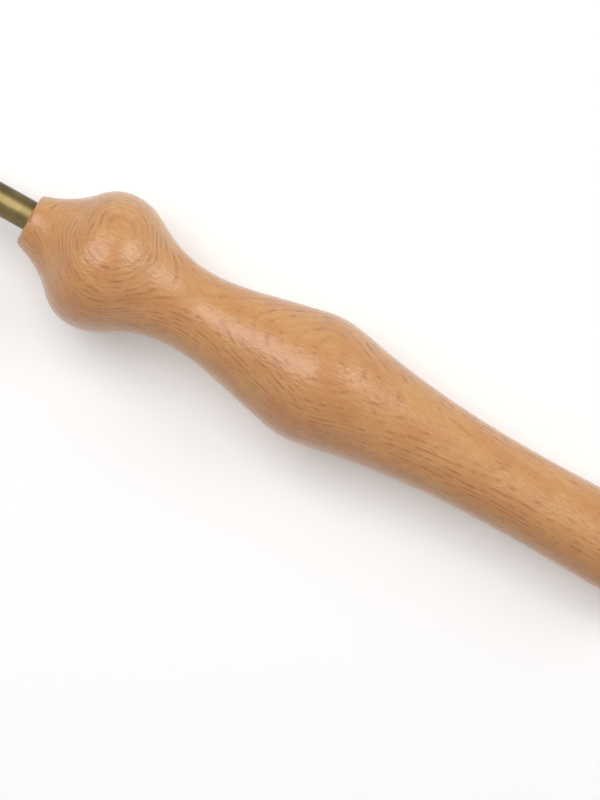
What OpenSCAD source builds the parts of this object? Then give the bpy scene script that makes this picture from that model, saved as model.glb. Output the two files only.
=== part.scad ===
// Adjustable punch needle for rug yarn: a turned wooden handle holds a sliding
// tubular needle, which a small screw in the handle's bulb clamps through a soft pad.
// Millimetres. The handle is turned about the X axis and the needle points along -X.
// The origin is on the X axis, at the nose face that stops against the cloth.

/* [Handle outline] */
// Length of the wooden handle, nose face to rear end
handle_len = 132; // [128:1:150]
// Diameter of the flat ring on the nose
nose_d = 8.1; // [7.8:0.1:8.6]
// Radius that eases the outer edge of the nose
nose_edge_r = 0.9; // [0.5:0.1:1]
// Diameter at the steepest place of the flare behind the nose
flare_d = 19.8; // [18:0.1:21]
// Distance from the nose face to the steepest place of the flare
flare_x = 8.7; // [8:0.1:9.5]
// Largest diameter of the bulb that the fingers rest on
bulb_d = 25.6; // [24:0.1:28]
// Distance from the nose face to the widest place of the bulb
bulb_x = 15.3; // [14.5:0.1:16.5]
// Diameter half way down the back of the bulb
shoulder_d = 21.5; // [20:0.1:23]
// Distance from the nose face to that place on the back of the bulb
shoulder_x = 21.5; // [20.5:0.1:23]
// Smallest diameter of the waist between bulb and belly
waist_d = 14.8; // [14:0.1:17]
// Distance from the nose face to the waist
waist_x = 33; // [30:0.5:36]
// Diameter on the front of the belly, where it swells fastest
swell_d = 21; // [19:0.1:22]
// Distance from the nose face to that place on the belly
swell_x = 50; // [48:0.5:51]
// Largest diameter of the belly that fills the palm
belly_d = 23.5; // [22:0.1:26]
// Distance from the nose face to the widest place of the belly
belly_x = 57.2; // [56:0.1:60]
// Diameter on the back of the belly
taper_d = 20.8; // [19:0.1:22]
// Distance from the nose face to that place on the back of the belly
taper_x = 66; // [64:0.5:68]
// Smallest diameter of the rear shaft
shaft_d = 15.2; // [14:0.1:17]
// Distance from the nose face to the slimmest place of the rear shaft
shaft_x = 99; // [94:0.5:104]
// Diameter of the slight swelling at the rear end
end_d = 16; // [15:0.1:18]
// Length of the rounded rear end
end_round = 7; // [5:0.5:9]
// Diameter of the flat on the rear end, round the mouth of the yarn passage
end_flat_d = 9.2; // [9:0.1:11]

/* [Needle tube] */
// Outside diameter of the tube
tube_d = 5.5; // [5:0.1:5.5]
// Wall thickness of the tube
tube_wall = 0.5; // [0.4:0.05:0.6]
// Length of tube that stands out of the nose
exposed = 55; // [45:1:60]
// Length of tube inside the handle
held = 55; // [45:1:58]
// How far the tube and its bore lie off the handle's axis, as drilled
needle_off = 0.6; // [0:0.1:0.7]
// Radial running clearance between tube and bore
tube_gap = 0.05; // [0.03:0.01:0.08]
// Length of the slanting cut that makes the point
bevel_len = 13; // [11:0.5:16]
// Height of the channel that the slanting cut leaves at the very tip
tip_lip = 0.9; // [0.7:0.1:1.2]
// Length over which the point is rounded when seen from above
point_round = 8; // [7:0.5:10]
// Half width of the ellipse that rounds the point
point_half_w = 3.2; // [3:0.1:3.6]
// Width of the eye that the yarn comes out of
eye_w = 2.6; // [2:0.1:2.8]
// Length of the eye along the tube
eye_len = 4; // [3:0.1:5]
// Distance from the tip to the middle of the eye
eye_x = 5.5; // [5:0.1:7]

/* [Bores in the handle] */
// Bevel that eases the bore's edge in the nose face
nose_bevel = 0.2; // [0.1:0.05:0.2]
// Depth of the wide bore, where the retracted needle stops
wide_bore_len = 75.5; // [75.5:0.5:80]
// Diameter of the yarn passage behind the needle
yarn_bore_d = 4.8; // [4.5:0.1:5]
// Radius that eases the mouth of the yarn passage
mouth_r = 1.5; // [1:0.1:1.8]

/* [Clamp] */
// Angle of the clamp screw below the horizontal
clamp_drop = 35; // [20:1:60]
// Diameter of the clamp screw's thread
screw_d = 4; // [3.8:0.1:4.2]
// Length of the clamp screw
screw_len = 6; // [5:0.5:6]
// Distance from the needle's axis to the inner end of the clamp screw
screw_in = 4.8; // [4.6:0.1:5]
// Running clearance on the radius of the screw and of the pad
thread_gap = 0.05; // [0.03:0.01:0.08]
// Bevel at both ends of the clamp screw
screw_bevel = 0.4; // [0.2:0.1:0.5]
// Width across the flats of the hexagon socket
socket_w = 2; // [1.5:0.1:2]
// Depth of the hexagon socket
socket_depth = 2.4; // [1.5:0.1:3]
// Outside diameter of the threaded insert
insert_d = 6; // [5.6:0.1:6.4]
// Distance from the needle's axis to the insert's inner end
insert_in = 5.3; // [5.2:0.1:5.6]
// Distance from the needle's axis to the insert's outer end
insert_out = 12.4; // [11.6:0.1:12.5]
// Width of the screwdriver slot across the insert
slot_w = 0.9; // [0.7:0.1:1.1]
// Depth of the screwdriver slot
slot_depth = 1.1; // [0.8:0.1:1.5]
// Gap between pad and tube, and between pad and screw, when clamped
clamp_gap = 0.02; // [0.02:0.01:0.04]

/* [Hidden] */
$fn = 96;

// Steepness of the outline, in mm of radius per mm of length, where it isn't level
nose_slope = 0.35;
flare_slope = 1.08;
shoulder_slope = -0.62;
swell_slope = 0.21;
taper_slope = -0.19;

// Curve steps between two stations of the outline, and round each small arc
span_steps = 10;
arc_steps = 6;
end_steps = 12;

// Overlap that keeps a cut from ending on the face that it opens
cut = 1;

tube_r = tube_d / 2;
bore_r = tube_r + tube_gap;
tip_x = -exposed;
tail_x = held;
screw_out = screw_in + screw_len;
clamp_hole_r = screw_d / 2 + thread_gap;
pad_out = screw_in - clamp_gap;
pad_in = tube_r - cut;

// The nose edge is an arc that ends where its slope meets that of the flare
nose_turn = atan(1 / nose_slope);
nose_arc = [
    for (i = [0:arc_steps])
        let (a = nose_turn * i / arc_steps)
            [nose_edge_r * (1 - cos(a)), nose_d / 2 + nose_edge_r * sin(a)]
];
nose_end = nose_arc[arc_steps];

// Stations along the handle: distance from the nose face, radius, slope
stations = [
    [nose_end[0], nose_end[1], nose_slope],
    [flare_x, flare_d / 2, flare_slope],
    [bulb_x, bulb_d / 2, 0],
    [shoulder_x, shoulder_d / 2, shoulder_slope],
    [waist_x, waist_d / 2, 0],
    [swell_x, swell_d / 2, swell_slope],
    [belly_x, belly_d / 2, 0],
    [taper_x, taper_d / 2, taper_slope],
    [shaft_x, shaft_d / 2, 0],
    [handle_len - end_round, end_d / 2, 0]
];

// Radius on the smooth curve between stations a and b, at share t of the way
function blend(a, b, t) =
    let (h = b[0] - a[0])
        (2 * t ^ 3 - 3 * t ^ 2 + 1) * a[1] + (t ^ 3 - 2 * t ^ 2 + t) * h * a[2]
        + (3 * t ^ 2 - 2 * t ^ 3) * b[1] + (t ^ 3 - t ^ 2) * h * b[2];

curve = [
    for (i = [0:len(stations) - 2])
        for (k = [1:span_steps])
            let (a = stations[i], b = stations[i + 1], t = k / span_steps)
                [a[0] + (b[0] - a[0]) * t, blend(a, b, t)]
];

// The rear end is a quarter ellipse down to a small flat
rear_end = [
    for (i = [1:end_steps])
        let (a = 90 * i / end_steps)
            [handle_len - end_round * (1 - sin(a)), (end_flat_d + (end_d - end_flat_d) * cos(a)) / 2]
];
outline = concat([[0, 0]], nose_arc, curve, rear_end, [[handle_len, 0]]);

// What the bores take out of the handle, about the needle's axis, from nose to rear
mouth_edge = yarn_bore_d / 2 + mouth_r;
mouth = [
    for (i = [0:arc_steps])
        let (a = 90 * i / arc_steps)
            [handle_len - mouth_r * (1 - sin(a)), mouth_edge - mouth_r * cos(a)]
];
bores = concat(
    [
        [-cut, 0],
        [-cut, bore_r + nose_bevel],
        [0, bore_r + nose_bevel],
        [nose_bevel, bore_r],
        [wide_bore_len, bore_r],
        [wide_bore_len, yarn_bore_d / 2]
    ],
    mouth,
    [[handle_len + cut, mouth_edge], [handle_len + cut, 0]]
);

// Turns a shape drawn along +Z so that it lies along +X, starting at x
module along_x(x = 0) {
    translate([x, 0, 0]) rotate([0, 90, 0]) children();
}

// The same for a shape about the needle's own axis
module along_needle(x = 0) {
    translate([0, needle_off, 0]) along_x(x) children();
}

// Turns a shape drawn along +Z so that it lies along the clamp's axis, which meets the needle's
module along_clamp(distance = 0) {
    translate([bulb_x, needle_off, 0]) rotate([90 + clamp_drop, 0, 0]) translate([0, 0, distance]) children();
}

// A closed outline of [distance, radius] points, turned about the Z axis
module turned(points) {
    rotate_extrude() polygon([for (p = points) [p[1], p[0]]]);
}

module handle() {
    seat_mouth = bulb_d / 2 - insert_out + cut;
    color("#c68a55") difference() {
        along_x() turned(outline);
        along_needle() turned(bores);
        along_clamp() cylinder(r = clamp_hole_r, h = insert_in + cut);
        along_clamp(insert_in) cylinder(d = insert_d, h = bulb_d);
        along_clamp(insert_out) cylinder(d1 = insert_d, d2 = insert_d + 2 * seat_mouth, h = seat_mouth);
    }
}

// Seen from above, the tube narrows to a rounded point
module point_plan() {
    round_end = tip_x + point_round;
    near = [for (a = [90:10:270]) [round_end + point_round * cos(a), point_half_w * sin(a)]];
    polygon(concat(near, [[tail_x + cut, -point_half_w], [tail_x + cut, point_half_w]]));
}

module needle_tube() {
    inner_r = tube_r - tube_wall;
    slant = atan((tube_d - tip_lip) / bevel_len);
    eye_side = (eye_len - eye_w) / 2;
    color("#7a6334") translate([0, needle_off, 0]) difference() {
        intersection() {
            along_x(tip_x) cylinder(r = tube_r, h = tail_x - tip_x);
            translate([0, 0, -tube_d]) linear_extrude(2 * tube_d) point_plan();
        }
        along_x(tip_x - cut) cylinder(r = inner_r, h = tail_x - tip_x + 2 * cut);
        translate([tip_x, 0, tip_lip - tube_r]) rotate([0, -slant, 0])
            translate([-tube_d, -tube_d, 0]) cube([bevel_len + 2 * tube_d, 2 * tube_d, 2 * tube_d]);
        translate([tip_x + eye_x, 0, -tube_d]) {
            for (s = [-1, 1]) translate([s * eye_side, 0, 0]) cylinder(d = eye_w, h = tube_d);
            translate([-eye_side, -eye_w / 2, 0]) cube([2 * eye_side, eye_w, tube_d]);
        }
    }
}

module threaded_insert() {
    color("#c7a14a") difference() {
        along_clamp(insert_in) cylinder(d = insert_d, h = insert_out - insert_in);
        along_clamp(insert_in - cut) cylinder(r = clamp_hole_r, h = insert_out - insert_in + 2 * cut);
        along_clamp(insert_out - slot_depth) translate([-slot_w / 2, -insert_d, 0])
            cube([slot_w, 2 * insert_d, 2 * slot_depth]);
    }
}

module clamp_screw() {
    screw_r = screw_d / 2;
    color("#2b2b2e") difference() {
        along_clamp() turned([
            [screw_in, 0],
            [screw_in, screw_r - screw_bevel],
            [screw_in + screw_bevel, screw_r],
            [screw_out - screw_bevel, screw_r],
            [screw_out, screw_r - screw_bevel],
            [screw_out, 0]
        ]);
        along_clamp(screw_out - socket_depth) cylinder(d = socket_w / cos(30), h = socket_depth + cut, $fn = 6);
    }
}

module clamp_pad() {
    color("#e4e0d2") difference() {
        along_clamp(pad_in) cylinder(d = screw_d, h = pad_out - pad_in);
        along_needle() cylinder(r = tube_r + clamp_gap, h = 2 * bulb_x);
    }
}

handle();
needle_tube();
threaded_insert();
clamp_screw();
clamp_pad();
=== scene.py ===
# %% [markdown]
# # A punch needle with a turned beech handle
#
# The real tool is a beech handle, turned on a lathe and varnished, with a bronze-coloured tube that
# slides in its nose. A small screw in the bulb clamps the tube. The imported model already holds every
# piece at its real size. This lesson gives the pieces their final surfaces and finishes, and sets up
# the picture: a white table, soft studio light and a camera that looks straight down.

import math

import bmesh
import bpy
from mathutils import Matrix, Vector


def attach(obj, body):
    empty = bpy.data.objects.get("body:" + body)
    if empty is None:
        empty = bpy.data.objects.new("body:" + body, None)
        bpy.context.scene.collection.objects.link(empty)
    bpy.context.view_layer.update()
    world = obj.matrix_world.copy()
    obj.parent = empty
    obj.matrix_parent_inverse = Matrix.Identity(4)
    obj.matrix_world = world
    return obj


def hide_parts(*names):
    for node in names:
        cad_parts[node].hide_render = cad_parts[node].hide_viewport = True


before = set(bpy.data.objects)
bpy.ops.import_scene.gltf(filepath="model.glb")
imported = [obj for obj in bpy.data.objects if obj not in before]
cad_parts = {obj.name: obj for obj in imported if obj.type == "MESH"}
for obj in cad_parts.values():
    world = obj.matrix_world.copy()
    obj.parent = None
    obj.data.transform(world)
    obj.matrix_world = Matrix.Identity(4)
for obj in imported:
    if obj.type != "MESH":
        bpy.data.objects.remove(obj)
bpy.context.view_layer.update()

# %% [markdown]
# ## Two small tools
#
# Colours are written as sRGB hex values, as a paint chart gives them, and the shaders want linear
# light, so one function converts them. Materials and geometry trees are both made of nodes. They
# could be drawn by hand in the node editor, but a script gives the same result each time, and one
# function that adds a node, sets its options and fills its inputs is enough for all of them. The
# options come first, because they decide which inputs and outputs a node has in use.

# %% Colours and nodes
def linear(hex_colour):
    """An sRGB hex value as the linear red, green, blue and alpha that the shaders work in."""
    channels = [int(hex_colour[i:i + 2], 16) / 255 for i in (1, 3, 5)]
    return (*[c / 12.92 if c <= 0.04045 else ((c + 0.055) / 1.055) ** 2.4 for c in channels], 1.0)


def add_node(tree, kind, inputs=None, **settings):
    """Adds one node. An input takes a value, an output, or a node, which gives its first output."""
    node = tree.nodes.new(kind)
    for name, value in settings.items():
        setattr(node, name, value)
    for key, value in (inputs or {}).items():
        if isinstance(value, bpy.types.Node):
            value = next(output for output in value.outputs if output.enabled)
        if isinstance(value, bpy.types.NodeSocket):
            tree.links.new(value, node.inputs[key])
        else:
            node.inputs[key].default_value = value
    return node


def new_material(name):
    """An empty material and its node tree."""
    material = bpy.data.materials.new(name)
    material.use_nodes = True
    material.node_tree.nodes.clear()
    return material, material.node_tree


print("middle grey #808080 is", round(linear("#808080")[0], 3), "in linear light")

# %% [markdown]
# ## The camera
#
# The tool lies slanting across the picture, and the camera looks straight down on it. The picture
# shows next to no perspective, so the camera stands three metres away with a long lens. The picture
# is 800 pixels high, at 5.69 pixels for a millimetre, and its middle falls on the handle's belly, a
# few millimetres beside the axis. The scene is in metres, and such a small tool is easier to read in
# millimetres, so its sizes are multiplied by MM.

# %% Camera
MM = 0.001
PICTURE_HEIGHT_PX = 800
PIXELS_PER_MM = 5.69
CAMERA_HEIGHT = 3.0
PICTURE_CENTRE = Vector((57.1 * MM, -4.55 * MM, 0))
PICTURE_TURN = math.radians(29.153)
SENSOR_MM = 36

camera_data = bpy.data.cameras.new("camera")
camera_data.sensor_fit = "VERTICAL"
camera_data.sensor_height = SENSOR_MM
camera_data.sensor_width = SENSOR_MM
camera_data.lens = SENSOR_MM * CAMERA_HEIGHT / (PICTURE_HEIGHT_PX / PIXELS_PER_MM * MM)
camera = bpy.data.objects.new("camera", camera_data)
camera.location = PICTURE_CENTRE + Vector((0, 0, CAMERA_HEIGHT))
camera.rotation_euler = (0, 0, PICTURE_TURN)
bpy.context.scene.collection.objects.link(camera)
bpy.context.scene.camera = camera
print("lens:", round(camera_data.lens, 1), "mm")

# %% [markdown]
# ## The handle's outline
#
# A turned piece is its outline, swept once round the lathe's axis. The outline could be drawn as a
# Bezier curve, but then the sizes hide in its handles. Here it is a smooth curve through ten
# stations: each has a distance from the nose, a radius and a slope. Between two of them runs a cubic
# curve that keeps both slopes. The nose edge is a small arc, and the rear end is a quarter of an
# ellipse round a flat middle. All these sizes are in millimetres.

# %% Outside of the handle
HANDLE_LENGTH = 132
NOSE_RADIUS = 4.05
NOSE_EDGE = 0.9
NOSE_SLOPE = 0.35
NOSE_STEPS = 10
STATIONS = [
    (8.7, 9.9, 1.08),
    (15.3, 12.8, 0),
    (21.5, 10.75, -0.62),
    (33, 7.4, 0),
    (50, 10.5, 0.21),
    (57.2, 11.75, 0),
    (66, 10.4, -0.19),
    (99, 7.6, 0),
    (125, 8, 0),
]
ROW_GAP = 0.9
FEWEST_ROWS = 12
END_LENGTH = 7
END_FLAT_RADIUS = 4.6
END_STEPS = 24


def between(start, end, share):
    """A point on the smooth curve from one station to the next."""
    length = end[0] - start[0]
    rise = 3 * share ** 2 - 2 * share ** 3
    radius = (1 - rise) * start[1] + rise * end[1]
    radius += (share ** 3 - 2 * share ** 2 + share) * length * start[2]
    radius += (share ** 3 - share ** 2) * length * end[2]
    return start[0] + length * share, radius


def quarter_turn(steps, last=math.pi / 2):
    """Angles from just after 0 to the last one."""
    return [last * (i + 1) / steps for i in range(steps)]


def handle_outline():
    """The outside of the handle from nose to rear, as (distance, radius) in millimetres."""
    points = [(0, NOSE_RADIUS)]
    for a in quarter_turn(NOSE_STEPS, math.atan(1 / NOSE_SLOPE)):
        points.append((NOSE_EDGE * (1 - math.cos(a)), NOSE_RADIUS + NOSE_EDGE * math.sin(a)))
    stations = [(*points[-1], NOSE_SLOPE)] + STATIONS
    for start, end in zip(stations, stations[1:]):
        steps = max(FEWEST_ROWS, round((end[0] - start[0]) / ROW_GAP))
        points += [between(start, end, (i + 1) / steps) for i in range(steps)]
    end_radius = stations[-1][1]
    for a in quarter_turn(END_STEPS):
        x = HANDLE_LENGTH - END_LENGTH * (1 - math.sin(a))
        points.append((x, END_FLAT_RADIUS + (end_radius - END_FLAT_RADIUS) * math.cos(a)))
    return points


outside = handle_outline()
print("outline points:", len(outside), "largest radius:", max(r for _, r in outside), "mm")

# %% [markdown]
# The handle is drilled from end to end. The needle slides in a wide bore from the nose, and the yarn
# comes in through a narrower one with a rounded mouth at the rear. Booleans could drill both, but
# the lathe turns them together with the outside and leaves clean rings. They lie a little off the
# handle's axis, so each point of the outline also says where its ring has its centre.

# %% Bores of the handle
BORE_OFFSET = 0.6
BORE_RADIUS = 2.8
BORE_DEPTH = 75.5
BORE_BEVEL = 0.2
YARN_BORE_RADIUS = 2.4
MOUTH_ROUND = 1.5
MOUTH_STEPS = 8


def bore_outline():
    """The bores from rear to nose, about the needle's own axis."""
    mouth_edge = YARN_BORE_RADIUS + MOUTH_ROUND
    points = [(HANDLE_LENGTH, mouth_edge)]
    for a in quarter_turn(MOUTH_STEPS):
        x = HANDLE_LENGTH - MOUTH_ROUND * (1 - math.cos(a))
        points.append((x, mouth_edge - MOUTH_ROUND * math.sin(a)))
    points.append((BORE_DEPTH, YARN_BORE_RADIUS))
    points.append((BORE_DEPTH, BORE_RADIUS))
    points.append((BORE_BEVEL, BORE_RADIUS))
    points.append((0, BORE_RADIUS + BORE_BEVEL))
    return points


ring_rows = [(x, 0, r) for x, r in outside] + [(x, BORE_OFFSET, r) for x, r in bore_outline()]
print("rings of the handle:", len(ring_rows))

# %% [markdown]
# ## A lathe made of geometry nodes
#
# A screw modifier could turn an outline too, but it has one axis, and the bores of this handle lie
# beside the axis of its outside. So the lathe is a tree of geometry nodes. The outline goes in as a
# closed chain of points, in which X is the distance along the axis, Y the sideways place of the
# ring's centre and Z its radius. The tree lays out a flat grid with one row of vertices for each
# point of the chain and one column for each step round the axis.

# %% Lay out the grid
LATHE = bpy.data.node_groups.new("lathe", "GeometryNodeTree")
LATHE.interface.new_socket("Outline", in_out="INPUT", socket_type="NodeSocketGeometry")
LATHE.interface.new_socket("Sides", in_out="INPUT", socket_type="NodeSocketInt")
LATHE.interface.new_socket("Finish", in_out="INPUT", socket_type="NodeSocketMaterial")
LATHE.interface.new_socket("Turned", in_out="OUTPUT", socket_type="NodeSocketGeometry")
given = add_node(LATHE, "NodeGroupInput").outputs
chain_points = add_node(
    LATHE, "GeometryNodeAttributeDomainSize", {"Geometry": given["Outline"]}, component="MESH",
).outputs["Point Count"]
rows = add_node(LATHE, "ShaderNodeMath", {0: chain_points, 1: 1}, operation="ADD")
columns = add_node(LATHE, "ShaderNodeMath", {0: given["Sides"], 1: 1}, operation="ADD")
grid = add_node(LATHE, "GeometryNodeMeshGrid", {"Vertices X": rows, "Vertices Y": columns})
lathe_inputs = {
    item.name: item.identifier
    for item in LATHE.interface.items_tree if item.in_out == "INPUT"
}
print("inputs of the lathe:", ", ".join(lathe_inputs))

# %% [markdown]
# The number of a vertex gives its row and its column. The row picks a point of the chain, and the
# column gives the angle, so every vertex can move to its place on its ring. A last merge closes the
# seam and the poles. One tree turns every round piece, because only the chain differs.

# %% Move every vertex to its ring
SEAM_GAP = 1e-6

index = add_node(LATHE, "GeometryNodeInputIndex")
share = add_node(LATHE, "ShaderNodeMath", {0: index, 1: columns}, operation="DIVIDE")
row = add_node(LATHE, "ShaderNodeMath", {0: share}, operation="FLOOR")
chain_row = add_node(LATHE, "ShaderNodeMath", {0: row, 1: chain_points}, operation="MODULO")
column = add_node(LATHE, "ShaderNodeMath", {0: index, 1: columns}, operation="MODULO")
turn = add_node(LATHE, "ShaderNodeMath", {0: column, 1: given["Sides"]}, operation="DIVIDE")
angle = add_node(LATHE, "ShaderNodeMath", {0: turn, 1: math.tau}, operation="MULTIPLY")
place = add_node(LATHE, "GeometryNodeInputPosition")
ring = add_node(
    LATHE, "GeometryNodeSampleIndex",
    {"Geometry": given["Outline"], "Value": place, "Index": chain_row},
    data_type="FLOAT_VECTOR", domain="POINT",
)
ring_parts = add_node(LATHE, "ShaderNodeSeparateXYZ", {0: ring}).outputs
cosine = add_node(LATHE, "ShaderNodeMath", {0: angle}, operation="COSINE")
sine = add_node(LATHE, "ShaderNodeMath", {0: angle}, operation="SINE")
side = add_node(
    LATHE, "ShaderNodeMath", {0: ring_parts["Z"], 1: cosine, 2: ring_parts["Y"]},
    operation="MULTIPLY_ADD",
)
up = add_node(LATHE, "ShaderNodeMath", {0: ring_parts["Z"], 1: sine}, operation="MULTIPLY")
on_ring = add_node(LATHE, "ShaderNodeCombineXYZ", {"X": ring_parts["X"], "Y": side, "Z": up})
moved = add_node(LATHE, "GeometryNodeSetPosition", {"Geometry": grid, "Position": on_ring})
merged = add_node(LATHE, "GeometryNodeMergeByDistance", {"Geometry": moved, "Distance": SEAM_GAP})
whole = add_node(LATHE, "GeometryNodeRealizeInstances", {"Geometry": merged})
finished = add_node(LATHE, "GeometryNodeSetMaterial", {"Geometry": whole, "Material": given["Finish"]})
add_node(LATHE, "NodeGroupOutput", {"Turned": finished})
print("nodes of the lathe:", len(LATHE.nodes))

# %% [markdown]
# The modifier could stay on each piece, but later cuts want a plain mesh. So a helper runs the
# lathe on a chain of points, takes the result and throws the modifier away with its object. A
# turned mesh can come out inside out, so its faces are turned outwards, and it is shaded smooth
# except across its sharp edges.

# %% Turn an outline into a mesh
SLIVER = 2e-7
SHARP_ANGLE = math.radians(35)


def new_piece(name, mesh):
    """A mesh as an object at the origin, in the scene."""
    piece = bpy.data.objects.new(name, mesh)
    bpy.context.scene.collection.objects.link(piece)
    return piece


def clean_mesh(mesh):
    """Merges slivers, turns the faces outwards, and shades smooth except across sharp edges."""
    shell = bmesh.new()
    shell.from_mesh(mesh)
    bmesh.ops.remove_doubles(shell, verts=shell.verts, dist=SLIVER)
    bmesh.ops.dissolve_degenerate(shell, dist=SLIVER, edges=shell.edges)
    bmesh.ops.recalc_face_normals(shell, faces=shell.faces)
    shell.to_mesh(mesh)
    shell.free()
    mesh.shade_smooth()
    mesh.set_sharp_from_angle(angle=SHARP_ANGLE)


def turn_on_lathe(name, rows, sides, finish):
    """Turns rows of (distance, centre, radius), in millimetres, into a closed mesh object."""
    chain = bpy.data.meshes.new(name + "_outline")
    edges = [(i, (i + 1) % len(rows)) for i in range(len(rows))]
    chain.from_pydata([(x * MM, centre * MM, r * MM) for x, centre, r in rows], edges, [])
    blank = new_piece(name + "_blank", chain)
    lathe = blank.modifiers.new("lathe", "NODES")
    lathe.node_group = LATHE
    lathe[lathe_inputs["Sides"]] = sides
    lathe[lathe_inputs["Finish"]] = finish
    depsgraph = bpy.context.evaluated_depsgraph_get()
    mesh = bpy.data.meshes.new_from_object(blank.evaluated_get(depsgraph))
    mesh.name = name
    bpy.data.objects.remove(blank)
    bpy.data.meshes.remove(chain)
    clean_mesh(mesh)
    return new_piece(name, mesh)


print("edges steeper than", round(math.degrees(SHARP_ANGLE)), "degrees stay sharp")

# %% [markdown]
# ## Varnished beech
#
# Steamed beech is a honey-coloured wood with fine growth rings. A turned piece cuts through the
# rings, so on a bulb they show as ovals round one point and beside it as close lines. A picture
# wrapped round the handle can't do that, but a solid pattern can: each ring is a cylinder about the
# tree's pith, and the surface simply shows what it cuts. The pith lies 40 mm from the handle's axis,
# below it and turned 27 degrees towards one side. The first node brings the object's coordinates to
# millimetres along the tree and away from its pith.

# %% Place of the wood in its tree
PITH_TILT = math.radians(27)
PITH_DEPTH_MM = 40

BEECH, wood = new_material("varnished_beech")
coordinates = add_node(wood, "ShaderNodeTexCoord").outputs
pith = add_node(
    wood, "ShaderNodeMapping",
    {
        "Vector": coordinates["Object"],
        "Scale": (1 / MM,) * 3,
        "Rotation": (PITH_TILT, 0, 0),
        "Location": (0, 0, PITH_DEPTH_MM),
    },
)
tree_parts = add_node(wood, "ShaderNodeSeparateXYZ", {0: pith}).outputs
across = add_node(wood, "ShaderNodeCombineXYZ", {"Y": tree_parts["Y"], "Z": tree_parts["Z"]})
pith_distance = add_node(wood, "ShaderNodeVectorMath", {0: across}, operation="LENGTH")
print("the pith is", PITH_DEPTH_MM, "mm from the handle's axis")

# %% [markdown]
# Wood is never even. Six noises vary it, each stretched along the tree to the size of what it
# stands for: rings that wander and waver, blotches of colour, fibres, places where many rays crowd
# together, and the ripple of the varnish. Each could have its own lines, but they differ only in
# grain and detail, so one loop makes them all from a table. The grain is in millimetres: along the
# tree, along a ring and away from the pith. Real fibres are a few hundredths of a millimetre wide,
# too fine for this picture, so they are drawn 0.3 mm wide.

# %% Noises of the wood
WOOD_NOISES = {
    "wander": {"grain": (60, 16, 16), "detail": 2},
    "waver": {"grain": (9, 3.5, 3.5), "detail": 2},
    "blotch": {"grain": (9, 5, 2.5), "detail": 3},
    "fibre": {"grain": (1.8, 0.3, 0.3), "detail": 2},
    "crowd": {"grain": (12, 6, 6), "detail": 1},
    "ripple": {"grain": (1.2, 0.55, 0.55), "detail": 3},
}

noises = {}
for name, values in WOOD_NOISES.items():
    scale = [1 / size for size in values["grain"]]
    stretched = add_node(wood, "ShaderNodeMapping", {"Vector": pith, "Scale": scale})
    noises[name] = add_node(
        wood, "ShaderNodeTexNoise", {"Vector": stretched, "Scale": 1, "Detail": values["detail"]},
    )
print("noises of the wood:", ", ".join(noises))

# %% [markdown]
# A ring ends in late wood, a thin brown line that grows darker and then stops at once. Bands of a
# wave texture would be as even as stripes. So the distance from the pith wanders and wavers a
# little and is divided by a ring's width: its whole part numbers the rings, and its fraction says
# how far through a ring a point lies. On this handle the lines are about 0.65 mm apart.

# %% Growth rings
RING_WIDTH_MM = 0.65
WANDER_MM = 3.0
WAVER_MM = 0.55
# How dark the line is at these shares of a ring's width
LINE_DARKNESS = {0.45: 0, 0.80: 1, 0.90: 1, 1.0: 0}

wandered = add_node(
    wood, "ShaderNodeMath", {0: noises["wander"], 1: WANDER_MM, 2: pith_distance},
    operation="MULTIPLY_ADD",
)
wavered = add_node(
    wood, "ShaderNodeMath", {0: noises["waver"], 1: WAVER_MM, 2: wandered},
    operation="MULTIPLY_ADD",
)
rings = add_node(wood, "ShaderNodeMath", {0: wavered, 1: RING_WIDTH_MM}, operation="DIVIDE")
ring_number = add_node(wood, "ShaderNodeMath", {0: rings}, operation="FLOOR")
through_ring = add_node(wood, "ShaderNodeMath", {0: rings}, operation="FRACT")
late_wood = add_node(wood, "ShaderNodeValToRGB", {0: through_ring})
# A new ramp has two stops, so the missing ones are added before all are set
stops = late_wood.color_ramp.elements
while len(stops) < len(LINE_DARKNESS):
    stops.new(1.0)
for stop, (share_of_ring, darkness) in zip(stops, LINE_DARKNESS.items()):
    stop.position = share_of_ring
    stop.color = (darkness, darkness, darkness, 1)
print("late wood:", [(round(stop.position, 2), stop.color[0]) for stop in stops])

# %% [markdown]
# Pores and rays break each line into dashes. A noise decides where a line is dark. It reads the
# place along the tree and along the ring, and the ring's number takes it far from its neighbours,
# so that no two rings have their dashes side by side.

# %% Dashes along the rings
DASH_LENGTH_MM = 2.2
DASH_WIDTH_MM = 4
RING_JUMP = 7.31

dash_place = add_node(
    wood, "ShaderNodeCombineXYZ", {"X": tree_parts["X"], "Y": tree_parts["Y"], "Z": ring_number},
)
dash_stretched = add_node(
    wood, "ShaderNodeMapping",
    {"Vector": dash_place, "Scale": (1 / DASH_LENGTH_MM, 1 / DASH_WIDTH_MM, RING_JUMP)},
)
dash = add_node(wood, "ShaderNodeTexNoise", {"Vector": dash_stretched, "Scale": 1, "Detail": 1})
dash_dark = add_node(
    wood, "ShaderNodeMapRange",
    {"Value": dash, "From Min": 0.48, "From Max": 0.64, "To Min": 0.16, "To Max": 1.0},
)
line = add_node(wood, "ShaderNodeMath", {0: late_wood, 1: dash_dark}, operation="MULTIPLY")
print("dashes are about", DASH_LENGTH_MM, "mm long")

# %% [markdown]
# Between the lines the wood is honey gold, with pinker brown blotches a few millimetres across.
# Towards one side of the handle a painted shade turns it pinker brown as well. Fine brown fibres run
# through it. One flat colour would look like painted plastic, so three colours are mixed by the
# noises and by the painted shade.

# %% Colour of the early wood
HONEY = "#DCA768"
PINK_BROWN = "#C8844A"
FIBRE_BROWN = "#B57C48"
PAINTED_SHADE_REACH_MM = 12
# The blotches and the painted shade on one side of the handle each bring at most half of the pinker
# brown
HALF_RED = 0.5

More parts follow.
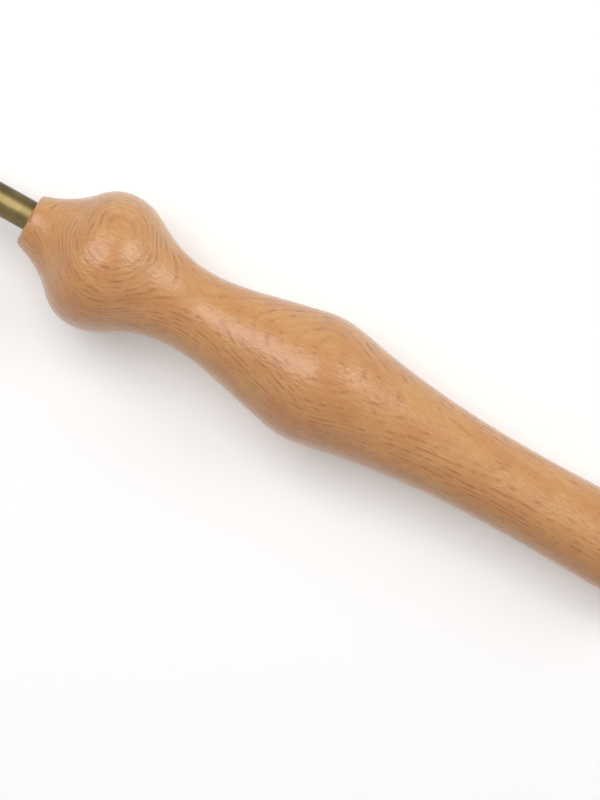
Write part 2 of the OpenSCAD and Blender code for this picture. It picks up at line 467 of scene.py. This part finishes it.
blotch_share = add_node(
    wood, "ShaderNodeMapRange", {"Value": noises["blotch"], "From Min": 0.35, "From Max": 0.65},
)
# Painted shade: the wood turns pinker brown towards one side of the handle, as a side in less light
# does
painted_shade_side = add_node(
    wood, "ShaderNodeMapRange",
    {
        "Value": tree_parts["Y"],
        "From Min": -PAINTED_SHADE_REACH_MM,
        "From Max": PAINTED_SHADE_REACH_MM,
        "To Min": HALF_RED,
        "To Max": 0.0,
    },
)
blotch_and_painted_shade = add_node(
    wood, "ShaderNodeMath", {0: blotch_share, 1: HALF_RED, 2: painted_shade_side}, operation="MULTIPLY_ADD",
)
blotched_with_painted_shade = add_node(
    wood, "ShaderNodeMix", {"Factor": blotch_and_painted_shade, "A": linear(HONEY), "B": linear(PINK_BROWN)},
    data_type="RGBA",
)
fibre_share = add_node(
    wood, "ShaderNodeMapRange",
    {"Value": noises["fibre"], "From Min": 0.35, "From Max": 0.7, "To Min": 0.0, "To Max": 0.45},
)
early_wood = add_node(
    wood, "ShaderNodeMix", {"Factor": fibre_share, "A": blotched_with_painted_shade, "B": linear(FIBRE_BROWN)},
    data_type="RGBA",
)
print("early wood:", HONEY, PINK_BROWN, FIBRE_BROWN)

# %% [markdown]
# The lines of late wood come on top. Where the surface lies along a ring, as in the middle of the
# ovals, its line spreads out and fades. The surface's own direction tells where that is.

# %% Lines of late wood
LINE_BROWN = "#99562C"
AWAY_FROM_PITH = (0, math.sin(PITH_TILT), math.cos(PITH_TILT))

facing = add_node(
    wood, "ShaderNodeVectorMath", {0: coordinates["Normal"], 1: AWAY_FROM_PITH},
    operation="DOT_PRODUCT",
)
line_strength = add_node(
    wood, "ShaderNodeMapRange",
    {"Value": facing, "From Min": 0.88, "From Max": 1.0, "To Min": 0.58, "To Max": 0.2},
)
line_share = add_node(wood, "ShaderNodeMath", {0: line, 1: line_strength}, operation="MULTIPLY")
lined = add_node(
    wood, "ShaderNodeMix", {"Factor": line_share, "A": early_wood, "B": linear(LINE_BROWN)},
    data_type="RGBA",
)
print("colour of the lines:", LINE_BROWN)

# %% [markdown]
# Rays are the mark of beech: brown flecks up to 3 mm long, in some places more than in others, and
# mostly on the lines. Small flecks with clear edges are what a Voronoi texture gives, once it is
# stretched along the tree.

# %% Flecks of the rays
FLECK_BROWN = "#A5602D"
FLECK_MM = (3.0, 0.75, 0.75)

fleck_stretched = add_node(
    wood, "ShaderNodeMapping", {"Vector": pith, "Scale": [1 / size for size in FLECK_MM]},
)
fleck = add_node(
    wood, "ShaderNodeTexVoronoi", {"Vector": fleck_stretched, "Scale": 1, "Randomness": 1},
)
fleck_dark = add_node(
    wood, "ShaderNodeMapRange",
    {"Value": fleck, "From Min": 0.16, "From Max": 0.34, "To Min": 1.0, "To Max": 0.0},
)
crowd_share = add_node(
    wood, "ShaderNodeMapRange",
    {"Value": noises["crowd"], "From Min": 0.38, "From Max": 0.6, "To Min": 0.1, "To Max": 0.7},
)
crowded = add_node(wood, "ShaderNodeMath", {0: fleck_dark, 1: crowd_share}, operation="MULTIPLY")
on_line = add_node(wood, "ShaderNodeMapRange", {"Value": late_wood, "To Min": 0.3, "To Max": 1.0})
fleck_share = add_node(wood, "ShaderNodeMath", {0: crowded, 1: on_line}, operation="MULTIPLY")
flecked = add_node(
    wood, "ShaderNodeMix", {"Factor": fleck_share, "A": lined, "B": linear(FLECK_BROWN)},
    data_type="RGBA",
)
print("flecks are about", FLECK_MM[0], "by", FLECK_MM[1], "mm")

# %% [markdown]
# The clear varnish gives the wood a smooth, slightly milky shine, and the grain prints through it.
# A real ripple of that kind is a few hundredths of a millimetre high, too fine to show here, so the
# bump is drawn coarser. The varnish is the shader's coat, and the wood under it stays rough.

# %% Varnish over the wood
RIPPLE_MM = 0.12

ripple = add_node(
    wood, "ShaderNodeBump",
    {"Height": noises["ripple"], "Strength": 1.0, "Distance": RIPPLE_MM * MM},
)
varnished = add_node(
    wood, "ShaderNodeBsdfPrincipled",
    {
        "Base Color": flecked,
        "Roughness": 0.5,
        "Specular IOR Level": 0.2,
        "Coat Weight": 1.0,
        "Coat Roughness": 0.21,
        "Coat IOR": 1.5,
        "Normal": ripple,
        "Coat Normal": ripple,
    },
)
add_node(wood, "ShaderNodeOutputMaterial", {"Surface": varnished})
print(BEECH.name, "has", len(wood.nodes), "nodes")

# %% [markdown]
# ## The handle
#
# The lathe turns the outside and the bores in one go. What is left is the seat of the brass insert,
# which goes in from the side. It is a turned shape too, a stepped plug with a wide mouth, and a
# boolean takes it out of the bulb, as a drill and a countersink do. The faces round the hole could
# be built by hand, but a cut follows the bulb's curve by itself. All pieces of the clamp lie on the
# plug's axis, which points sideways and down, where the camera doesn't see it. They are turned
# about X like everything else and then moved to that axis.

# %% Axis of the clamp
BULB_X = 15.3
CLAMP_DROP = math.radians(35)
CLAMP_AXIS = Vector((0, -math.cos(CLAMP_DROP), -math.sin(CLAMP_DROP)))
ACROSS = Vector((1, 0, 0))
CLAMP_TURN = Matrix((CLAMP_AXIS, ACROSS, CLAMP_AXIS.cross(ACROSS))).transposed().to_4x4()
CLAMP_PLACE = Matrix.Translation((BULB_X * MM, BORE_OFFSET * MM, 0)) @ CLAMP_TURN
print("the clamp points along", [round(c, 3) for c in CLAMP_AXIS])

# %% [markdown]
# A boolean modifier cuts one closed mesh with another. Its exact solver copes with faces that
# touch, and the result is cleaned as a turned mesh is. A finished piece is then handed over to the
# imported model: it rides on a body and stands for a node, which is hidden.

# %% Cut a piece and hand it over
def carve(piece, tool, operation="DIFFERENCE"):
    """Cuts one closed mesh with another, throws the tool away and cleans the result."""
    cut = piece.modifiers.new("cut", "BOOLEAN")
    cut.operation = operation
    cut.solver = "EXACT"
    cut.object = tool
    depsgraph = bpy.context.evaluated_depsgraph_get()
    carved = bpy.data.meshes.new_from_object(piece.evaluated_get(depsgraph))
    piece.modifiers.clear()
    piece.data = carved
    bpy.data.objects.remove(tool)
    clean_mesh(carved)


def hand_over(piece, body, node):
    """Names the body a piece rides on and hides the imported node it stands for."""
    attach(piece, body)
    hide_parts(node)
    print(piece.name, "has", len(piece.data.polygons), "faces")


# %% Turn the handle and drill the seat
HANDLE_SIDES = 144
SEAT_SIDES = 96
SEAT_IN = 5.3
SEAT_RADIUS = 3
SEAT_OUT = 12.4
SEAT_FLARE = 1.5
SCREW_HOLE_RADIUS = 2.05

handle = turn_on_lathe("turned_handle", ring_rows, HANDLE_SIDES, BEECH)
seat_rows = [
    (0, 0, 0),
    (0, 0, SCREW_HOLE_RADIUS),
    (SEAT_IN, 0, SCREW_HOLE_RADIUS),
    (SEAT_IN, 0, SEAT_RADIUS),
    (SEAT_OUT, 0, SEAT_RADIUS),
    (SEAT_OUT + SEAT_FLARE, 0, SEAT_RADIUS + SEAT_FLARE),
    (SEAT_OUT + SEAT_FLARE, 0, 0),
]
seat_plug = turn_on_lathe("seat_plug", seat_rows, SEAT_SIDES, BEECH)
seat_plug.data.transform(CLAMP_PLACE)
carve(handle, seat_plug)
hand_over(handle, "handle", "handle")

# %% [markdown]
# ## Antique bronze tube
#
# The needle is a drawn brass tube with a brown antique finish, lightly polished. It is a metal, so
# its colour tints what it reflects, and fine drawing lines along the tube stretch the highlight. An
# even metal would look like foil, so one noise mixes two browns in patches of about 4 mm, and
# another draws the lines. These are drawn 0.4 mm apart and 8 mm long, coarser than real ones, so
# that they show.

# %% Finish of the needle
OLIVE_BRONZE = "#736442"
BROWN_BRONZE = "#594C30"
LINES_PER_METRE = (120, 2600, 2600)
PATCHES_PER_METRE = (260, 260, 260)
LINE_DEPTH_MM = 0.004

BRONZE, tube_metal = new_material("antique_bronze")
tube_place = add_node(tube_metal, "ShaderNodeTexCoord").outputs["Object"]
tube_noises = []
for per_metre in (LINES_PER_METRE, PATCHES_PER_METRE):
    stretched = add_node(tube_metal, "ShaderNodeMapping", {"Vector": tube_place, "Scale": per_metre})
    tube_noises.append(
        add_node(tube_metal, "ShaderNodeTexNoise", {"Vector": stretched, "Scale": 1, "Detail": 3})
    )
drawing_lines, patina = tube_noises
patina_share = add_node(
    tube_metal, "ShaderNodeMapRange", {"Value": patina, "From Min": 0.35, "From Max": 0.7},
)
browned = add_node(
    tube_metal, "ShaderNodeMix",
    {"Factor": patina_share, "A": linear(OLIVE_BRONZE), "B": linear(BROWN_BRONZE)},
    data_type="RGBA",
)
tube_roughness = add_node(
    tube_metal, "ShaderNodeMapRange",
    {"Value": drawing_lines, "From Min": 0.3, "From Max": 0.7, "To Min": 0.24, "To Max": 0.36},
)
tube_bump = add_node(
    tube_metal, "ShaderNodeBump",
    {"Height": drawing_lines, "Strength": 0.6, "Distance": LINE_DEPTH_MM * MM},
)
polished = add_node(
    tube_metal, "ShaderNodeBsdfPrincipled",
    {"Base Color": browned, "Metallic": 1.0, "Roughness": tube_roughness, "Normal": tube_bump},
)
add_node(tube_metal, "ShaderNodeOutputMaterial", {"Surface": polished})
print(BRONZE.name, "has", len(tube_metal.nodes), "nodes")

# %% [markdown]
# ## The needle
#
# The needle is a tube 5.5 mm wide whose end is ground to a slanting mouth, like a quill. Seen from
# above its point is rounded, and the yarn leaves through an eye in its underside. Pulling vertices
# into such a point leaves uneven faces, so the lathe makes the plain tube, and three tools shape it
# as a grinding wheel and a drill do: a block whose outline is the rounded plan, a slanting block
# for the mouth, and a short slot for the eye.

# %% Plain tube
TUBE_SIDES = 128
TUBE_RADIUS = 2.75
TUBE_WALL = 0.5
TUBE_TIP = -55
TUBE_TAIL = 55
TUBE_EDGE = 0.12

inner_radius = TUBE_RADIUS - TUBE_WALL
tube_rows = [
    (TUBE_TIP, BORE_OFFSET, inner_radius),
    (TUBE_TIP, BORE_OFFSET, TUBE_RADIUS),
    (TUBE_TAIL - TUBE_EDGE, BORE_OFFSET, TUBE_RADIUS),
    (TUBE_TAIL, BORE_OFFSET, TUBE_RADIUS - TUBE_EDGE),
    (TUBE_TAIL, BORE_OFFSET, inner_radius + TUBE_EDGE),
    (TUBE_TAIL - TUBE_EDGE, BORE_OFFSET, inner_radius),
]
tube = turn_on_lathe("needle", tube_rows, TUBE_SIDES, BRONZE)
print("the tube is", TUBE_TAIL - TUBE_TIP, "mm long")

# %% Rounded point, seen from above
POINT_ROUND = 8
POINT_HALF_WIDTH = 3.2
POINT_STEPS = 48
BLOCK_HEIGHT = 5
SPARE = 1


def prism(name, plan, low, high, finish):
    """A straight block over a plan in the XY plane. All lengths are in millimetres."""
    count = len(plan)
    corners = [(x * MM, y * MM, z * MM) for z in (low, high) for x, y in plan]
    sides = [(i, (i + 1) % count, (i + 1) % count + count, i + count) for i in range(count)]
    mesh = bpy.data.meshes.new(name)
    mesh.from_pydata(corners, [], sides + [tuple(range(count)), tuple(range(count, 2 * count))])
    clean_mesh(mesh)
    mesh.materials.append(finish)
    return new_piece(name, mesh)


def arc(centre, radii, start, end, steps):
    """Points on an arc or half ellipse, with the angles in degrees."""
    angles = [math.radians(start + (end - start) * i / steps) for i in range(steps + 1)]
    return [(centre + radii[0] * math.cos(a), radii[1] * math.sin(a)) for a in angles]


to_needle_axis = Matrix.Translation((0, BORE_OFFSET * MM, 0))
plan = arc(TUBE_TIP + POINT_ROUND, (POINT_ROUND, POINT_HALF_WIDTH), 90, 270, POINT_STEPS)
plan += [(TUBE_TAIL + SPARE, -POINT_HALF_WIDTH), (TUBE_TAIL + SPARE, POINT_HALF_WIDTH)]
rounding = prism("rounding", plan, -BLOCK_HEIGHT, BLOCK_HEIGHT, BRONZE)
rounding.data.transform(to_needle_axis)
carve(tube, rounding, "INTERSECT")
print("the point is rounded over", POINT_ROUND, "mm")

# %% Slanting mouth and eye
MOUTH_LENGTH = 13
TIP_LIP = 0.9
WHEEL_BEHIND = -6
WHEEL_AHEAD = 24
WHEEL_HALF_WIDTH = 6
WHEEL_HEIGHT = 12
EYE_WIDTH = 2.6
EYE_LENGTH = 4
EYE_FROM_TIP = 5.5
EYE_STEPS = 24
EYE_BOTTOM = -5.5

slant = math.atan((2 * TUBE_RADIUS - TIP_LIP) / MOUTH_LENGTH)
wheel_plan = [(WHEEL_BEHIND, -WHEEL_HALF_WIDTH), (WHEEL_AHEAD, -WHEEL_HALF_WIDTH)]
wheel_plan += [(WHEEL_AHEAD, WHEEL_HALF_WIDTH), (WHEEL_BEHIND, WHEEL_HALF_WIDTH)]
wheel = prism("wheel", wheel_plan, 0, WHEEL_HEIGHT, BRONZE)
tip_place = Matrix.Translation((TUBE_TIP * MM, 0, (TIP_LIP - TUBE_RADIUS) * MM))
wheel.data.transform(to_needle_axis @ tip_place @ Matrix.Rotation(-slant, 4, "Y"))
carve(tube, wheel)
print("the mouth slants at", round(math.degrees(slant), 1), "degrees")

eye_reach = (EYE_LENGTH - EYE_WIDTH) / 2
eye_radii = (EYE_WIDTH / 2, EYE_WIDTH / 2)
eye_plan = arc(eye_reach, eye_radii, -90, 90, EYE_STEPS)
eye_plan += arc(-eye_reach, eye_radii, 90, 270, EYE_STEPS)
eye = prism("eye", eye_plan, EYE_BOTTOM, 0, BRONZE)
eye.data.transform(to_needle_axis @ Matrix.Translation(((TUBE_TIP + EYE_FROM_TIP) * MM, 0, 0)))
carve(tube, eye)
hand_over(tube, "needle", "needle_tube")

# %% [markdown]
# ## Screw, insert and pad
#
# A threaded brass insert sits in the wood, a black grub screw runs in it, and a nylon slug under the
# screw grips the tube without denting it. Turned brass is a bright yellow metal. Black oxide leaves
# steel a dark satin metal, and nylon is a milky plastic that light enters by about a millimetre.
# Only a glimpse down the hole shows these three, so an even finish is enough for each, and one
# function makes it.

# %% Finishes of the clamp
def plain_finish(name, colour, inputs):
    """One even finish, from its colour and the shader's other inputs."""
    material, tree = new_material(name)
    shader = add_node(tree, "ShaderNodeBsdfPrincipled", {"Base Color": linear(colour), **inputs})
    add_node(tree, "ShaderNodeOutputMaterial", {"Surface": shader})
    print(name, colour)
    return material


BRASS = plain_finish("turned_brass", "#C9A352", {"Metallic": 1.0, "Roughness": 0.3})
BLACK_STEEL = plain_finish("black_oxide_steel", "#35353A", {"Metallic": 1.0, "Roughness": 0.4})
NYLON = plain_finish(
    "cut_nylon", "#E6E1D3",
    {"Roughness": 0.45, "Subsurface Weight": 0.3, "Subsurface Radius": (MM, MM, MM)},
)

# %% [markdown]
# ## Threads
#
# A thread is a ridge that climbs by one pitch each turn. It could be swept along a helix and joined
# to a rod, but such a joint leaves slivers. So the lathe turns a plain rod with close rows, and then
# each vertex of its outside is sunk by how far round the ridge it lies. The rod stays one closed
# mesh, and the thread fades out towards its ends.

# %% Close rows and a climbing ridge
ROW_STEP = 0.07
ON_SURFACE = 0.01
# These two give the ridge straight flanks between a flat crest and a flat root
THREAD_STEEPNESS = 1.5
THREAD_CREST = 0.25
THREAD_FADE = 0.3


def close_rows(start, end, radius):
    """Rows of one radius, close enough together to carry a thread."""
    count = max(1, round((end - start) / ROW_STEP))
    return [(start + (end - start) * i / count, 0, radius) for i in range(count + 1)]


def cut_thread(piece, pitch, depth, outside_radius, reach):
    """Sinks the outside of a rod into a climbing ridge between two distances."""
    sunk = 0
    for vertex in piece.data.vertices:
        x, y, z = vertex.co / MM
        radius = math.hypot(y, z)
        if radius < outside_radius - ON_SURFACE or not reach[0] < x < reach[1]:
            continue
        turns = (x / pitch - math.atan2(z, y) / math.tau) % 1
        groove = min(1, max(0, THREAD_STEEPNESS * (1 - abs(2 * turns - 1)) - THREAD_CREST))
        fade = min(1, (x - reach[0]) / THREAD_FADE, (reach[1] - x) / THREAD_FADE)
        factor = (radius - depth * groove * fade) / radius
        vertex.co.y *= factor
        vertex.co.z *= factor
        sunk += 1
    print(piece.name, "has", sunk, "vertices in its thread")


print("a thread fades out over", THREAD_FADE, "mm")

# %% [markdown]
# ## Pieces of the clamp
#
# The grub screw is an M4 thread, 6 mm long, with bevelled ends and a hexagon socket. The socket is
# a turned shape with six sides, cut out with a boolean, so the lathe serves for it as well.

# %% Grub screw
CLAMP_SIDES = 72
HEXAGON = 6
SCREW_PITCH = 0.7
SCREW_THREAD_DEPTH = 0.3
SCREW_RADIUS = 2
SCREW_IN = 4.8
SCREW_OUT = 10.8
SCREW_BEVEL = 0.4
SOCKET_ACROSS_FLATS = 2
SOCKET_RADIUS = SOCKET_ACROSS_FLATS / 2 / math.cos(math.pi / HEXAGON)
SOCKET_DEPTH = 2.4
SOCKET_CONE = 0.3

thread_reach = (SCREW_IN + SCREW_BEVEL, SCREW_OUT - SCREW_BEVEL)
screw_rows = [(SCREW_IN, 0, 0), (SCREW_IN, 0, SCREW_RADIUS - SCREW_BEVEL)]
screw_rows += close_rows(*thread_reach, SCREW_RADIUS)
screw_rows += [(SCREW_OUT, 0, SCREW_RADIUS - SCREW_BEVEL), (SCREW_OUT, 0, 0)]
screw = turn_on_lathe("grub_screw", screw_rows, CLAMP_SIDES, BLACK_STEEL)
cut_thread(screw, SCREW_PITCH, SCREW_THREAD_DEPTH, SCREW_RADIUS, thread_reach)
socket_rows = [
    (SCREW_OUT - SOCKET_DEPTH - SOCKET_CONE, 0, 0),
    (SCREW_OUT - SOCKET_DEPTH, 0, SOCKET_RADIUS),
    (SCREW_OUT + SPARE, 0, SOCKET_RADIUS),
    (SCREW_OUT + SPARE, 0, 0),
]
carve(screw, turn_on_lathe("socket", socket_rows, HEXAGON, BLACK_STEEL))
screw.data.transform(CLAMP_PLACE)
hand_over(screw, "clamp_screw", "clamp_screw")

# %% [markdown]
# The insert is a brass sleeve with a coarse thread outside, which bites into the wood, and a slot
# across its outer end for a screwdriver. A thin block cuts the slot, as a saw does. The thread
# stops a little short of it, because a cut through the ridge leaves slivers.

# %% Brass insert
INSERT_PITCH = 1.2
INSERT_THREAD_DEPTH = 0.35
INSERT_EDGE = 0.15
INSERT_LEAD = 0.25
SLOT_WIDTH = 0.9
SLOT_DEPTH = 1.1
SAW_REACH = 6
THREAD_STOP = 0.25

insert_rows = close_rows(SEAT_IN, SEAT_OUT - INSERT_EDGE, SEAT_RADIUS)
insert_rows += [
    (SEAT_OUT, 0, SEAT_RADIUS - INSERT_EDGE),
    (SEAT_OUT, 0, SCREW_HOLE_RADIUS + INSERT_LEAD),
    (SEAT_OUT - INSERT_LEAD, 0, SCREW_HOLE_RADIUS),
    (SEAT_IN, 0, SCREW_HOLE_RADIUS),
]
insert = turn_on_lathe("brass_insert", insert_rows, CLAMP_SIDES, BRASS)
insert_reach = (SEAT_IN, SEAT_OUT - SLOT_DEPTH - THREAD_STOP)
cut_thread(insert, INSERT_PITCH, INSERT_THREAD_DEPTH, SEAT_RADIUS, insert_reach)
slot_side = SLOT_WIDTH / 2
slot_from = SEAT_OUT - SLOT_DEPTH
slot_to = SEAT_OUT + SPARE
slot_plan = [(slot_from, -slot_side), (slot_to, -slot_side)]
slot_plan += [(slot_to, slot_side), (slot_from, slot_side)]
carve(insert, prism("slot_saw", slot_plan, -SAW_REACH, SAW_REACH, BRASS))
insert.data.transform(CLAMP_PLACE)
hand_over(insert, "handle", "threaded_insert")

# %% [markdown]
# The pad is a short nylon rod. Its inner end is hollowed to the tube's own curve, with a gap of two
# hundredths of a millimetre, so that it holds the tube without a dent. A rod a little wider than the
# tube cuts the hollow.

# %% Nylon pad
PAD_IN = 1.75
PAD_OUT = 4.78
PAD_EDGE = 0.15
CLAMP_GAP = 0.02
HOLLOW_FROM = 5
HOLLOW_TO = 25

pad_rows = [
    (PAD_IN, 0, 0),
    (PAD_IN, 0, SCREW_RADIUS),
    (PAD_OUT - PAD_EDGE, 0, SCREW_RADIUS),
    (PAD_OUT, 0, SCREW_RADIUS - PAD_EDGE),
    (PAD_OUT, 0, 0),
]
pad = turn_on_lathe("nylon_pad", pad_rows, CLAMP_SIDES, NYLON)
pad.data.transform(CLAMP_PLACE)
hollow_radius = TUBE_RADIUS + CLAMP_GAP
hollow_rows = [
    (HOLLOW_FROM, BORE_OFFSET, 0),
    (HOLLOW_FROM, BORE_OFFSET, hollow_radius),
    (HOLLOW_TO, BORE_OFFSET, hollow_radius),
    (HOLLOW_TO, BORE_OFFSET, 0),
]
carve(pad, turn_on_lathe("hollow", hollow_rows, TUBE_SIDES, NYLON))
hand_over(pad, "clamp_pad", "clamp_pad")

# %% [markdown]
# ## The white table
#
# The table is a matt white board. In the picture it is nearly pure white and still carries the
# tool's shadow. More light would whiten it, but would bleach the wood as well. So the board keeps a
# plain white, and where the camera or a reflection looks at it, a weak glow is added. The glow grows
# with the distance from the tool, so that the shadow stays and the rest is white.

# %% Finish of the table
MIDDLE_X = 57
# The glow grows between these two distances, in metres from the middle of the tool
NEAR_TOOL = 0.13
FAR_FROM_TOOL = 0.4
GLOW_NEAR_TOOL = 0.24


def looked_at(tree):
    """1 for a ray from the camera, a reflection or clear glass, and 0 for light on the object."""
    path = add_node(tree, "ShaderNodeLightPath").outputs
    direct = add_node(
        tree, "ShaderNodeMath", {0: path["Is Camera Ray"], 1: path["Is Glossy Ray"]},
        operation="MAXIMUM",
    )
    return add_node(
        tree, "ShaderNodeMath", {0: direct, 1: path["Is Transmission Ray"]}, operation="MAXIMUM",
    )


WHITE_BOARD, board = new_material("matt_white_board")
matt = add_node(board, "ShaderNodeBsdfDiffuse", {"Color": linear("#EFEEED")})
board_place = add_node(board, "ShaderNodeTexCoord").outputs["Object"]
from_tool = add_node(
    board, "ShaderNodeVectorMath", {0: board_place, 1: (MIDDLE_X * MM, 0, 0)}, operation="DISTANCE",
)
amount = add_node(
    board, "ShaderNodeMapRange",
    {
        "Value": from_tool,
        "From Min": NEAR_TOOL,
        "From Max": FAR_FROM_TOOL,
        "To Min": GLOW_NEAR_TOOL,
        "To Max": 1.0,
    },
)
glow_strength = add_node(
    board, "ShaderNodeMath", {0: looked_at(board), 1: amount}, operation="MULTIPLY",
)
glow = add_node(board, "ShaderNodeEmission", {"Color": (1, 1, 1, 1), "Strength": glow_strength})
matt_and_glow = add_node(board, "ShaderNodeAddShader", {0: matt, 1: glow})
add_node(board, "ShaderNodeOutputMaterial", {"Surface": matt_and_glow})
print(WHITE_BOARD.name, "is full white", FAR_FROM_TOOL, "m from the tool")

# %% [markdown]
# The tool rests on its bulb and on its belly. The bulb is thicker, so on a level table the axis
# slopes a little. The tool could be tipped, but the model's own axis has to stay level here, so the
# table takes the slope. It is found by laying a line under both, and laying it again where the
# last one touched.

# %% Table under bulb and belly
TABLE_SIZE = 3.0
WAIST_X = 33
TANGENT_ROUNDS = 4


def common_tangent(points):
    """Height at the nose and slope of the line that touches bulb and belly from below."""
    bulb = [p for p in points if p[0] < WAIST_X]
    belly = [p for p in points if p[0] > WAIST_X]
    slope = 0
    for _ in range(TANGENT_ROUNDS):
        low_bulb = max(bulb, key=lambda p: p[1] + slope * p[0])
        low_belly = max(belly, key=lambda p: p[1] + slope * p[0])
        slope = (low_bulb[1] - low_belly[1]) / (low_belly[0] - low_bulb[0])
    return -(low_bulb[1] + slope * low_bulb[0]), slope


table_at_nose, table_slope = common_tangent(outside)
reach = TABLE_SIZE / 2
table_plan = [(-reach, -reach), (reach, -reach), (reach, reach), (-reach, reach)]
table_corners = [(x, y, table_at_nose * MM + table_slope * x) for x, y in table_plan]
table_mesh = bpy.data.meshes.new("table")
table_mesh.from_pydata(table_corners, [], [(0, 1, 2, 3)])
table_mesh.materials.append(WHITE_BOARD)
table = new_piece("table", table_mesh)
print("table slopes by", round(math.degrees(math.atan(table_slope)), 2), "degrees")

# %% [markdown]
# ## The light
#
# Soft studio light comes from large lamps: a small one would leave hard shadows and a sharp dot on
# the varnish. A soft box hangs over the needle's side of the table, and the varnish shows it as the
# milky patches on bulb and belly. A smaller one stands to the right of the picture. Their
# brightness is given as how bright the face looks, because that, and not the power, is what a
# reflection shows.

# %% Soft boxes
def soft_box(name, centre, aim, size, radiance):
    """A rectangular lamp. Its power is worked out from how bright its face looks."""
    lamp = bpy.data.lights.new(name, "AREA")
    lamp.shape = "RECTANGLE"
    lamp.size, lamp.size_y = size
    lamp.energy = radiance * math.pi * size[0] * size[1]
    box = bpy.data.objects.new(name, lamp)
    box.location = centre
    box.rotation_mode = "QUATERNION"
    box.rotation_quaternion = (Vector(aim) - Vector(centre)).to_track_quat("-Z", "Y")
    box.visible_camera = False
    bpy.context.scene.collection.objects.link(box)
    print(name, "gives", round(lamp.energy, 2), "W")


soft_box(
    "overhead_soft_box",
    centre=(-0.42, 0.15, 0.7), aim=(-0.42, 0.15, 0), size=(0.9, 0.54), radiance=3.3,
)
soft_box(
    "right_soft_box",
    centre=(0.55, 0.45, 0.55), aim=(0.05, 0, 0), size=(0.5, 0.5), radiance=3.4,
)

# %% [markdown]
# The world around them is plain white to the camera and in reflections, and gives the object a weak
# fill light. The Standard view shows colours about as they are written.

# %% White surround
FILL = 0.24
SEEN_WHITE = 1.0

world = bpy.data.worlds.new("white_surround")
world.use_nodes = True
sky = world.node_tree
sky.nodes.clear()
sky_strength = add_node(
    sky, "ShaderNodeMapRange", {"Value": looked_at(sky), "To Min": FILL, "To Max": SEEN_WHITE},
)
surround = add_node(sky, "ShaderNodeBackground", {"Color": (1, 1, 1, 1), "Strength": sky_strength})
add_node(sky, "ShaderNodeOutputWorld", {"Surface": surround})
bpy.context.scene.world = world
bpy.context.scene.view_settings.view_transform = "Standard"
print("fill light:", FILL)
